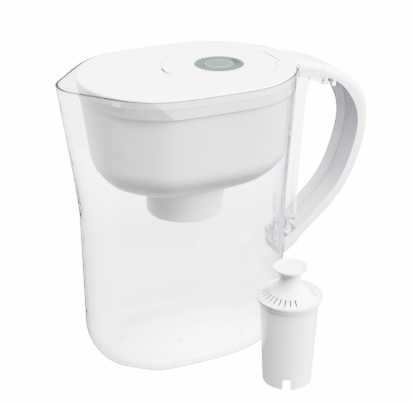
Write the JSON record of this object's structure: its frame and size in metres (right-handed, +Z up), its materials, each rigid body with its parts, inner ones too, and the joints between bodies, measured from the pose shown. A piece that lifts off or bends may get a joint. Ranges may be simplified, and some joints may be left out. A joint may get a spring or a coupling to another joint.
{
  "type": "water filter pitcher",
  "caption": "Clear jug with a spout and a white channel handle, a lift-out reservoir with a filter sleeve, a lid with a hinged fill door and status button, and a spare cartridge beside it.",
  "frame": {"origin": "middle of the jug's flat base, on the surface that it stands on", "axes": "+Z up, +X towards the handle and -X towards the spout, Y across the jug"},
  "size_m": [0.2798, 0.1902, 0.2601],
  "materials": {
    "clear_jug": "clear, glossy",
    "white_shell": "white, satin gloss",
    "white_bowl": "white, fine matte",
    "face": "slate blue, printed gloss",
    "case": "pale grey, matte",
    "button": "grey green, gloss",
    "clear_rod": "clear, glossy",
    "lamp": "translucent",
    "board": "green lacquer",
    "steel": "stamped",
    "seal": "black, soft",
    "cartridge": "pale grey lavender, satin gloss",
    "mesh": "woven mesh",
    "medium": "dark granules"
  },
  "bodies": {
    "pitcher": {"vessel": "clear_jug", "handle": "white_shell"},
    "reservoir": {"reservoir": "white_bowl"},
    "lid": {"lid": "white_shell"},
    "door": {"fill_door": "white_shell", "indicator_case": "case", "indicator_face": "face", "light_guide": "clear_rod", "status_lamp": "lamp", "circuit_board": "board", "switch_dome": "steel", "coin_cell": "steel", "battery_clip": "steel", "case_seal": "seal", "battery_cover": "case"},
    "button": {"status_button": "button"},
    "cartridge": {"cartridge_cup": "cartridge", "cartridge_cap": "cartridge", "upper_screen": "mesh", "filter_medium": "medium", "lower_screen": "mesh"}
  },
  "joints": [
    {"name": "reservoir_lift", "type": "slide", "parent": "pitcher", "child": "reservoir", "axis": [0, 0, 1], "range_m": [0, 0.13]},
    {"name": "lid_lift", "type": "slide", "parent": "reservoir", "child": "lid", "axis": [0, 0, 1], "range_m": [0, 0.05]},
    {"name": "door_hinge", "type": "hinge", "parent": "lid", "child": "door", "pos_m": [0.0854, 0, 0.2584], "axis": [0, 1, 0], "range_deg": [0, 80]},
    {"name": "button_press", "type": "slide", "parent": "door", "child": "button", "axis": [0, 0, -1], "range_m": [0, 0.0005], "stiffness_N_per_m": 600, "springref_m": -0.0005},
    {"name": "cartridge_lift", "type": "slide", "parent": "pitcher", "child": "cartridge", "axis": [0, 0, 1], "range_m": [0, 0.1]}
  ]
}
